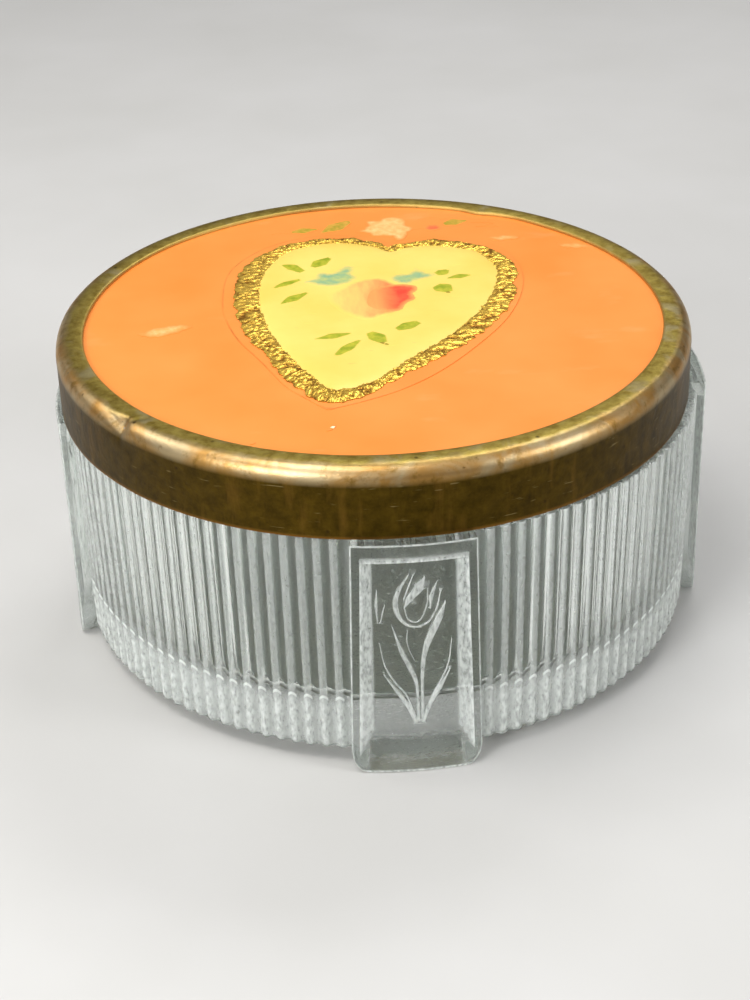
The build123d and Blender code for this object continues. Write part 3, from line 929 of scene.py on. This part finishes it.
def foil_border():
    """Crinkled foil between the cream heart and its own ragged outer edge."""
    along, across = 1500, 15
    inner, outer = (smooth_line(line, along, closed=True) for line in (CREAM_LINE, FOIL_LINE))
    outward = outer - inner
    outward /= np.linalg.norm(outward, axis=1)[:, None]
    shift_out = 0.8 * flat_ripple(outer, 2.2, 1, 4)
    shift_in = 0.35 + 0.5 * flat_ripple(outer, 1.8, 2, 4)
    outer = outer + outward * shift_out[:, None]
    inner = inner - outward * shift_in[:, None]
    grid = np.vstack([inner + (outer - inner) * share for share in np.linspace(0, 1, across)])
    bend = np.column_stack([flat_ripple(grid, 3.0, 5), flat_ripple(grid, 3.0, 8)])
    share = np.repeat(np.linspace(0, 1, across), along)
    run = np.cumsum(np.linalg.norm(outer - np.roll(outer, 1, axis=0), axis=1))
    strip = np.column_stack([np.tile(run, across) + 2.4 * share, share * 3.6])
    coarse = 1 - 1.8 * np.abs(flat_ripple(strip + 1.1 * bend, 1.9, 11, 2))
    fine = 1 - 1.8 * np.abs(flat_ripple(grid + 0.8 * bend, 1.0, 17, 3))
    crease = np.clip(0.45 * coarse + 0.55 * fine, 0, 1) ** 1.3
    swell = np.sin(np.pi * np.clip(share * 0.9 + 0.05, 0, 1)) ** 0.5
    room = LID_TOP - 0.08 - PLAQUE_FOOT
    top = PLAQUE_FOOT + 0.03 + (room - 0.05) * swell * (0.15 + 0.85 * crease)
    count = along * across
    points = np.vstack([lid_points(grid, top), lid_points(grid, PLAQUE_FOOT)])
    faces = grid_faces(across, along)
    faces += [tuple(i + count for i in face[::-1]) for face in faces]
    faces += [(a, a + count, b + count, b) for a, b in closed_lines(0, along)]
    faces += [(b, b + count, a + count, a) for a, b in closed_lines(count - along, along)]
    foil = new_object("foil_crinkled", points, faces, foil_material(), "lid", sharp=40)
    # The crinkle level also sets the foil's painted glints and shade.
    store(foil, "crease", [*crease, *np.zeros(count)])
    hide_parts("foil_border")


def plaque_height(places, depth):
    """The cream heart's slightly pillowed top."""
    swell = (PLAQUE_TOP - PLAQUE_FOOT - 0.1) * (1 - np.exp(-depth / PILLOW))
    return PLAQUE_FOOT + 0.08 + swell + 0.012 * flat_ripple(places, 9, 21)


def heart_plaque():
    plate = slab("cream_heart", CREAM_OUTLINE, PLAQUE_FOOT, plaque_height, cream_material(), 1.0)
    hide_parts("heart_plaque")


# --- Paint: thin films on the cream heart or on the disc ---

def paint(name, outlines, material, slot="cream_celluloid", lift=0.0):
    """One object of thin paint films with these outlines, laid on the cream heart or on the disc."""
    on_heart = slot == "cream_celluloid"

    def height(places, depth):
        if on_heart:
            ground = plaque_height(places, np.maximum(inside_distance(places, CREAM_OUTLINE), 0))
        else:
            ground = PANEL_FACE
        return ground + lift + PAINT_THICK * (1 - np.exp(-depth / 0.15)) + 0.004

    low = PLAQUE_FOOT if on_heart else PANEL_FACE - 0.1
    parts = [slab(f"{name}_{number}", outline, low, height, material, 0.6)
             for number, outline in enumerate(outlines)]
    keep = parts[0]
    if len(parts) > 1:
        with bpy.context.temp_override(active_object=keep, selected_editable_objects=parts):
            bpy.ops.object.join()
    keep.name = name


def blobs(lines, ragged, seed=0.0, count=48):
    """Closed outlines through the points of each line, with slightly uneven brushed edges."""
    outlines = []
    for number, points in enumerate(lines):
        outline = smooth_line(points, count, closed=True)
        uneven = [flat_ripple(outline, 0.9, seed + number + shift) for shift in (0, 9)]
        outlines.append(outline + ragged * np.column_stack(uneven))
    return outlines


def leaves(strokes):
    return [stroke_outline(*stroke_line(stroke, 14)) for stroke in strokes]


HEART_LEAVES = [
    [(-15.0, 23.6, 0.2), (-13.0, 22.2, 2.9), (-11.0, 19.6, 1.6)],
    [(-9.2, 21.4, 1.2), (-7.7, 23.2, 3.4), (-5.6, 25.4, 1.2)],
    [(-16.6, 13.5, 1.0), (-14.2, 15.0, 2.1), (-11.6, 16.4, 1.0)],
    [(-15.9, 6.2, 0.3), (-13.4, 8.4, 2.9), (-10.0, 11.0, 0.4)],
    [(-10.8, -8.6, 0.4), (-7.4, -7.8, 2.5), (-3.6, -7.0, 0.3)],
    [(-7.6, -15.4, 1.1), (-5.3, -12.6, 2.6), (-2.6, -9.4, 0.5)],
    [(-1.3, -7.2, 1.6), (-0.1, -9.2, 3.6), (0.9, -11.6, 1.6)],
    [(3.4, -6.8, 1.4), (5.5, -5.6, 3.2), (7.7, -4.2, 1.6)],
    [(12.7, 15.2, 1.6), (14.1, 15.9, 3.0), (15.3, 16.9, 0.8)],
    [(14.0, 12.9, 0.2), (16.9, 13.7, 2.3), (20.0, 14.3, 0.3)],
    [(12.2, 10.4, 2.2), (13.3, 9.1, 4.4), (14.4, 7.2, 1.6)],
]
HEART_STEMS = [
    [(-9.8, 1.9, 0.3), (-11.5, 1.9, 0.45), (-12.5, 0.3, 0.5), (-11.7, -1.9, 0.4), (-10.0, -1.9, 0.25)],
    [(14.6, 16.4, 0.6), (16.0, 18.6, 0.45), (18.1, 19.2, 0.25)],
    [(13.8, 7.6, 0.9), (14.8, 5.6, 0.45), (16.4, 4.9, 0.25)],
    [(0.3, -11.3, 0.8), (1.8, -12.5, 0.6), (3.3, -12.0, 0.5), (3.2, -10.9, 0.2)],
    [(19.4, 14.4, 0.4), (20.4, 13.8, 0.3), (20.8, 13.0, 0.2)],
    [(-6.4, 24.4, 0.6), (-5.0, 26.4, 0.2)],
]
HEART_ASTERS = [
    [(-11.6, 15.4), (-9.2, 17.2), (-8.4, 19.4), (-5.8, 18.8), (-3.2, 21.4), (-1.4, 20.6), (-1.8, 18.0),
     (-1.2, 15.6), (-3.0, 13.4), (-6.4, 12.2), (-9.0, 13.4)],
    [(3.8, 14.2), (5.8, 16.4), (8.0, 16.8), (9.4, 19.2), (10.8, 17.0), (13.2, 15.4), (12.0, 13.8),
     (9.8, 12.8), (7.4, 11.2), (5.6, 12.2)],
]
ROSE = [
    (-7.4, 8.6), (-4.6, 11.6), (-1.6, 14.4), (2.4, 15.2), (4.4, 13.2), (6.0, 11.6), (8.2, 11.2), (9.0, 9.2),
    (8.0, 7.4), (8.2, 5.0), (6.4, 3.4), (5.4, 0.9), (2.4, -0.6), (-0.8, -2.2), (-4.4, 0.6), (-6.4, 4.0),
]
ROSE_HEART = [
    (-0.4, 3.6), (0.6, 9.6), (4.2, 11.6), (8.0, 11.0), (8.8, 9.2), (7.8, 7.4), (8.0, 5.2), (6.2, 3.6),
    (5.2, 1.2), (3.0, 0.6),
]


def rose_pink(paint):
    """Cream on the left through pink to red on the right, in streaks."""
    across = paint.math("MULTIPLY_ADD", paint.axis(0), 1 / 17, 0.48)
    streaks = paint.math("MULTIPLY_ADD", paint.noise(1.2, detail=4, stretch=(1, 4, 1)), 0.5, -0.25)
    return paint.ramp(paint.math("ADD", across, streaks, clamp=True), (0.0, (252, 216, 112)),
                      (0.35, (252, 190, 104)), (0.65, (252, 142, 78)), (0.9, (255, 104, 60)))


def rose_orange(paint):
    return paint.mix(paint.noise(1.2, detail=4, stretch=(1, 4, 1)), (255, 172, 92), (255, 150, 78))


def rightward(paint):
    return paint.math("MULTIPLY_ADD", paint.axis(0), 0.24, 0.0, clamp=True)


def heart_paint():
    green = brushed((146, 160, 10), (196, 190, 46), 1.4)
    olive = brushed((150, 128, 16), (176, 160, 40), 1.4)
    teal = brushed((134, 178, 138), (190, 200, 120))
    red = brushed((255, 66, 40), (255, 96, 58), 1.5)
    for name, outlines, material, lift in (
        ("painted_leaves", leaves(HEART_LEAVES), paint_material("leaf_paint", green, 0.25), 0.0),
        ("painted_stems", leaves(HEART_STEMS), paint_material("stem_paint", olive, 0.08), 0.01),
        ("painted_asters", blobs(HEART_ASTERS, 0.5), paint_material("teal_paint", teal, 1.2), 0.0),
        ("rose_petals", blobs([ROSE], 0.3, 3), paint_material("rose_wash", rose_pink, 1.0), 0.012),
        ("rose_centre", blobs([ROSE_HEART], 0.2, 7),
         paint_material("rose_red", red, 1.0, rose_orange, rightward), 0.035),
    ):
        paint(name, outlines, material, lift=lift)


DISC_LEAVES = [
    [(-12.6, 39.6, 0.4), (-9.8, 40.2, 3.0), (-6.8, 40.6, 0.5)],
    [(-6.4, 38.6, 0.6), (-3.6, 41.0, 4.0), (-0.6, 43.6, 1.4)],
    [(17.0, 39.4, 1.2), (19.2, 40.2, 3.4), (21.8, 40.6, 0.6)],
]
DISC_TWIGS = [
    [(12.6, 42.6, 0.2), (14.2, 43.2, 0.35), (16.2, 43.0, 0.2)],
    [(16.6, 42.0, 0.2), (18.4, 42.4, 0.3), (20.2, 42.0, 0.2)],
    [(22.0, 39.6, 0.2), (24.6, 39.4, 0.35), (26.6, 38.4, 0.2)],
    [(22.8, 37.4, 0.2), (25.0, 37.6, 0.3), (27.2, 36.8, 0.2)],
    [(-16.0, 39.2, 0.2), (-14.4, 39.8, 0.3), (-12.8, 39.6, 0.3)],
    [(10.8, 37.4, 0.2), (12.4, 38.2, 0.4), (14.0, 38.0, 0.3)],
]
DISC_PETALS = [
    (0.5, 38.5), (2.2, 40.2), (2.6, 43.0), (5.0, 43.2), (6.6, 44.8), (9.2, 44.0), (10.2, 41.8), (9.9, 39.9),
    (11.2, 38.4), (9.8, 36.4), (9.0, 33.8), (7.6, 32.9), (6.6, 35.2), (3.4, 35.6), (2.4, 37.2),
]
DISC_BUD = [
    (13.2, 38.4), (14.4, 39.6), (16.2, 39.2), (16.4, 37.4), (14.6, 36.6), (13.4, 37.2),
]
FLECKS = [
    [(-10.9, -40.3), (-10.0, -39.2), (-9.4, -38.6), (-9.3, -39.2), (-10.2, -40.4)],
    [(-22.9, -43.0), (-22.4, -42.4), (-22.0, -42.8), (-22.5, -43.2)],
]
DISC_PALE_PATCHES = [
    [(24.6, 31.6), (27.2, 32.6), (30.4, 31.8), (29.8, 30.4), (26.4, 30.2)],
    [(37.0, 26.4), (39.6, 27.2), (42.6, 25.6), (42.0, 24.4), (38.6, 24.8)],
    [(-40.6, -1.2), (-37.0, 1.0), (-32.4, 1.8), (-31.8, -0.2), (-34.6, -1.8), (-38.2, -2.6)],
]


def disc_paint():
    leaf = brushed((170, 150, 30), (222, 166, 62), 1.4)
    twig = brushed((170, 96, 30), (196, 130, 48), 1.4)
    near_white = brushed((250, 244, 220), (255, 236, 190), 0.6)
    pale = brushed((255, 176, 96), (255, 204, 132), 1.5)
    red = brushed((246, 96, 50), (250, 120, 64), 1)
    worn = brushed((255, 176, 92), (255, 204, 134), 1.2)
    flecks = [smooth_line(points, 20, closed=True) for points in FLECKS]
    for name, outlines, material, colour, soft, lift in (
        ("disc_leaves", leaves(DISC_LEAVES), "disc_leaf_paint", leaf, 0.25, 0.0),
        ("disc_twigs", leaves(DISC_TWIGS), "twig_paint", twig, 0.08, 0.0),
        # Small near-white raised flecks on the disc.
        ("pale_flecks", flecks, "fleck_paint", near_white, 0.04, 0.05),
        ("disc_flower", blobs([DISC_PETALS], 0.4, 2), "disc_flower_paint", pale, 0.7, 0.0),
        ("disc_bud", blobs([DISC_BUD], 0.12, 4, 24), "disc_bud_paint", red, 0.8, 0.0),
        # Paler patches laid on the disc.
        ("pale_patches", blobs(DISC_PALE_PATCHES, 0.5), "pale_patch_paint", worn, 1.2, 0.0),
    ):
        material = paint_material(material, colour, soft, celluloid_colour)
        paint(name, outlines, material, "peach_celluloid", lift)


# --- Inside the lid ---

def card_and_lining():
    card_low, card_high = box("backing_card")
    radius = (card_high[0] - card_low[0]) / 2 - 0.6
    low, high = card_low[2], card_high[2]
    section = [(0.5, low), (radius - 0.2, low), (radius, low + 0.2)]
    section += [(radius, high - 0.2), (radius - 0.2, high), (0.5, high)]
    card = plain_material("grey_card", ((146, 138, 122), (120, 112, 98)), 0.6, 0.9)
    piece = new_object("card_disc", *turned(section, 240, 0.002), card, "lid")
    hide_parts("backing_card")
    lining_low, lining_high = box("lid_lining")
    radius = (lining_high[0] - lining_low[0]) / 2
    low, high = lining_low[2], lining_high[2]
    section = [(0.5, low), *((r, low) for r in np.linspace(6, radius - 0.1, 12))]
    section += [(radius, low + 0.1), (radius, high), (0.5, high)]
    paper = plain_material("cream_paper", ((236, 222, 186), (214, 192, 146)), 7, 0.85, depth=0.08)
    piece = new_object("paper_lining", *turned(section, 240, 0.003, seed=4), paper, "lid")
    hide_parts("lid_lining")


def retaining_ring():
    """A ring of round wire, open at the back."""
    low, high = box("retaining_ring")
    wire, middle_z = (high[2] - low[2]) / 2, (high[2] + low[2]) / 2
    radius = (high[0] - low[0]) / 2 - wire
    gap, along, around = 3.0, 360, 16
    flat, heights = [], []
    for turn in np.linspace(90 + gap / 2, 450 - gap / 2, along):
        for roll in np.arange(around) * -2 * math.pi / around:
            flat.append(polar(radius + wire * math.cos(roll), math.radians(turn)))
            heights.append(middle_z + wire * math.sin(roll))
    faces = grid_faces(along, around)
    faces += [tuple(range(around)), tuple(range((along - 1) * around, along * around))[::-1]]
    steel = plain_material("spring_wire", ((150, 140, 120), (110, 92, 66)), 1.5, 0.35, metallic=1.0)
    ring = new_object("wire_ring", lid_points(flat, heights), faces, steel, "lid")
    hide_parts("retaining_ring")


# --- Stage ---

CAMERA_PLACE = (-25.2, -317.4, 205.0)
CAMERA_AZIMUTH, CAMERA_ELEVATION, CAMERA_ROLL = 4.256, 30.39, -1.666
CAMERA_LENS, SENSOR = 72.49, 36
AIM = (0, 0, 20)


def camera():
    turn, fall, roll = (math.radians(a) for a in (CAMERA_AZIMUTH, CAMERA_ELEVATION, CAMERA_ROLL))
    ahead = Vector((math.sin(turn) * math.cos(fall), math.cos(turn) * math.cos(fall), -math.sin(fall)))
    level = Vector((math.cos(turn), -math.sin(turn), 0))
    above = level.cross(ahead)
    right = math.cos(roll) * level + math.sin(roll) * above
    up = -math.sin(roll) * level + math.cos(roll) * above
    seen = bpy.data.cameras.new("camera")
    seen.lens, seen.sensor_width, seen.sensor_fit = CAMERA_LENS, SENSOR, "AUTO"
    seen.clip_start = 0.01
    held = bpy.data.objects.new("camera", seen)
    turned_to = Matrix((right, up, -ahead)).transposed().to_4x4()
    held.matrix_world = Matrix.Translation(Vector(CAMERA_PLACE) * MM) @ turned_to
    bpy.context.collection.objects.link(held)
    bpy.context.scene.camera = held


def softbox(name, place, size, power, colour=(1, 1, 1)):
    """A rectangular light at a place, facing the jar; `power` is in watts."""
    lamp = bpy.data.lights.new(name, "AREA")
    lamp.shape, lamp.size, lamp.size_y = "RECTANGLE", size[0] * MM, size[1] * MM
    lamp.energy, lamp.color = power, colour
    held = bpy.data.objects.new(name, lamp)
    held.location = Vector(place) * MM
    held.rotation_euler = (Vector(AIM) - Vector(place)).to_track_quat("-Z", "Y").to_euler()
    bpy.context.collection.objects.link(held)


def sky():
    """Soft light from all round: dark near the horizon, brighter overhead."""
    world = bpy.data.worlds.new("world")
    world.use_nodes = True
    tree = world.node_tree
    kinds = ("TexCoord", "SeparateXYZ", "ValToRGB")
    place, parts, ramp = (tree.nodes.new("ShaderNode" + kind) for kind in kinds)
    background = tree.nodes["Background"].inputs
    tree.links.new(place.outputs["Generated"], parts.inputs[0])
    tree.links.new(parts.outputs["Z"], ramp.inputs["Fac"])
    tree.links.new(ramp.outputs[0], background["Color"])
    low, high = ramp.color_ramp.elements
    low.position, low.color = 0.1, (0.03, 0.03, 0.03, 1)
    high.position, high.color = 0.85, (0.8, 0.8, 0.81, 1)
    background["Strength"].default_value = 0.6
    bpy.context.scene.world = world


def studio():
    reach, z = 6.0, -0.05 * MM
    corners = [(-reach, -reach, z), (reach, -reach, z), (reach, reach, z), (-reach, reach, z)]
    floor_mesh = bpy.data.meshes.new("floor")
    floor_mesh.from_pydata(corners, [], [(0, 1, 2, 3)])
    floor = bpy.data.objects.new("floor", floor_mesh)
    bpy.context.collection.objects.link(floor)
    ground = Surface("floor", Roughness=0.75)
    shade = ground.ramp(ground.noise(60, detail=3), (0.3, (206, 205, 202)), (0.7, (212, 211, 209)))
    floor.data.materials.append(ground.link(Base_Color=shade))
    softbox("key", (-150, -130, 600), (280, 220), 1.25, (1.0, 0.985, 0.96))
    softbox("left", (-420, 60, 360), (220, 200), 0.6, (1.0, 0.97, 0.92))
    softbox("back", (160, 330, 560), (300, 160), 1.1)
    softbox("fill", (-340, -420, 240), (180, 260), 1.8, (0.98, 0.99, 1.0))
    softbox("side", (430, -260, 260), (120, 260), 0.9, (0.98, 0.99, 1.0))
    sky()
    scene = bpy.context.scene
    scene.view_settings.view_transform = "Standard"
    scene.cycles.max_bounces = 24
    scene.cycles.glossy_bounces = 20
    scene.cycles.transmission_bounces = 24


glass_bowl()
lid_rim()
lid_panel()
heart_backing()
foil_border()
heart_plaque()
heart_paint()
disc_paint()
card_and_lining()
retaining_ring()
camera()
studio()
